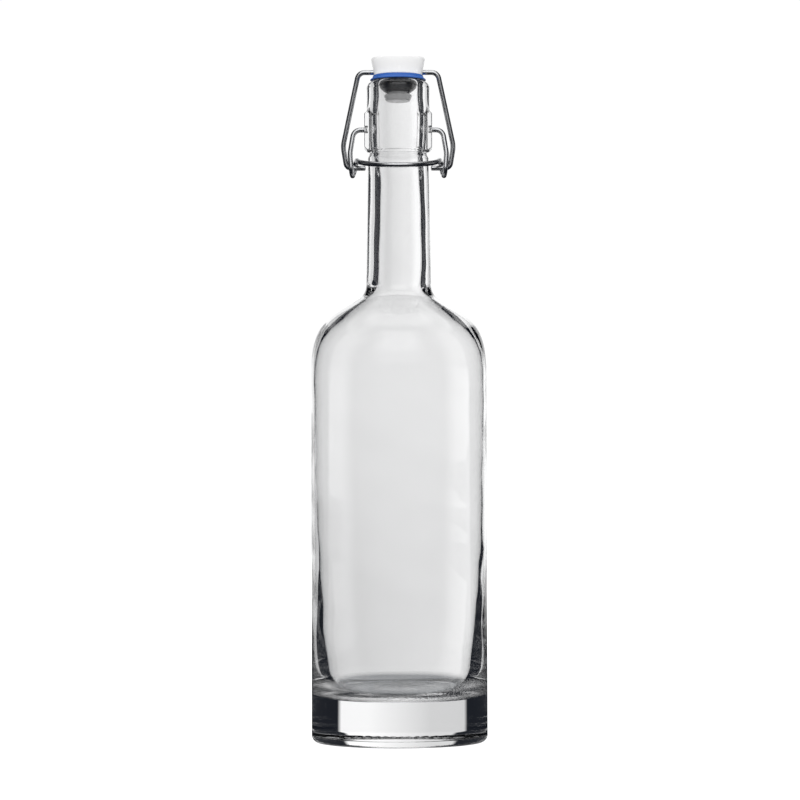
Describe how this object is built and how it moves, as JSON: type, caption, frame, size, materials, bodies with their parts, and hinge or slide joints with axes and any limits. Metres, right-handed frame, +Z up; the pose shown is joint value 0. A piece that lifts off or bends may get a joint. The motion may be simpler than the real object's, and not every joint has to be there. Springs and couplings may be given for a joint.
{
  "type": "swing-top bottle",
  "caption": "Tall clear glass bottle with a heavy base, closed by a white stopper and blue gasket on a hinged wire bail and lever.",
  "frame": {"origin": "centre of the base, on the plane that the bottle stands on", "axes": "+Z up along the bottle's axis to the stopper, -Y towards the lever's thumb loop (front), +X to the right; both hinge lines are parallel to X"},
  "size_m": [0.08, 0.08, 0.3132],
  "materials": {
    "clear_glass": "clear, polished, fire-finished",
    "steel_wire": "drawn, bright-plated",
    "white_stopper": "smooth gloss white",
    "blue_rubber": "satin moulded rubber"
  },
  "bodies": {
    "bottle": {"bottle": "clear_glass"},
    "lever": {"lever_wire": "steel_wire"},
    "bail": {"bail_wire": "steel_wire"},
    "stopper": {"stopper": "white_stopper", "gasket": "blue_rubber"}
  },
  "joints": [
    {"name": "lever_hinge", "type": "hinge", "parent": "bottle", "child": "lever", "pos_m": [0, 0, 0.2794], "axis": [-1, 0, 0], "range_deg": [0, 95]},
    {"name": "bail_hinge", "type": "hinge", "parent": "lever", "child": "bail", "pos_m": [0, 0.0016, 0.262], "axis": [-1, 0, 0], "range_deg": [-61, 0]},
    {"name": "stopper_hinge", "type": "hinge", "parent": "bail", "child": "stopper", "pos_m": [0, 0, 0.3058], "axis": [-1, 0, 0], "range_deg": [-35, 0]}
  ],
  "couplings": [
    {"joint": "bail_hinge", "follows": "lever_hinge", "ratio": -0.635},
    {"joint": "stopper_hinge", "follows": "lever_hinge", "ratio": -0.365}
  ]
}
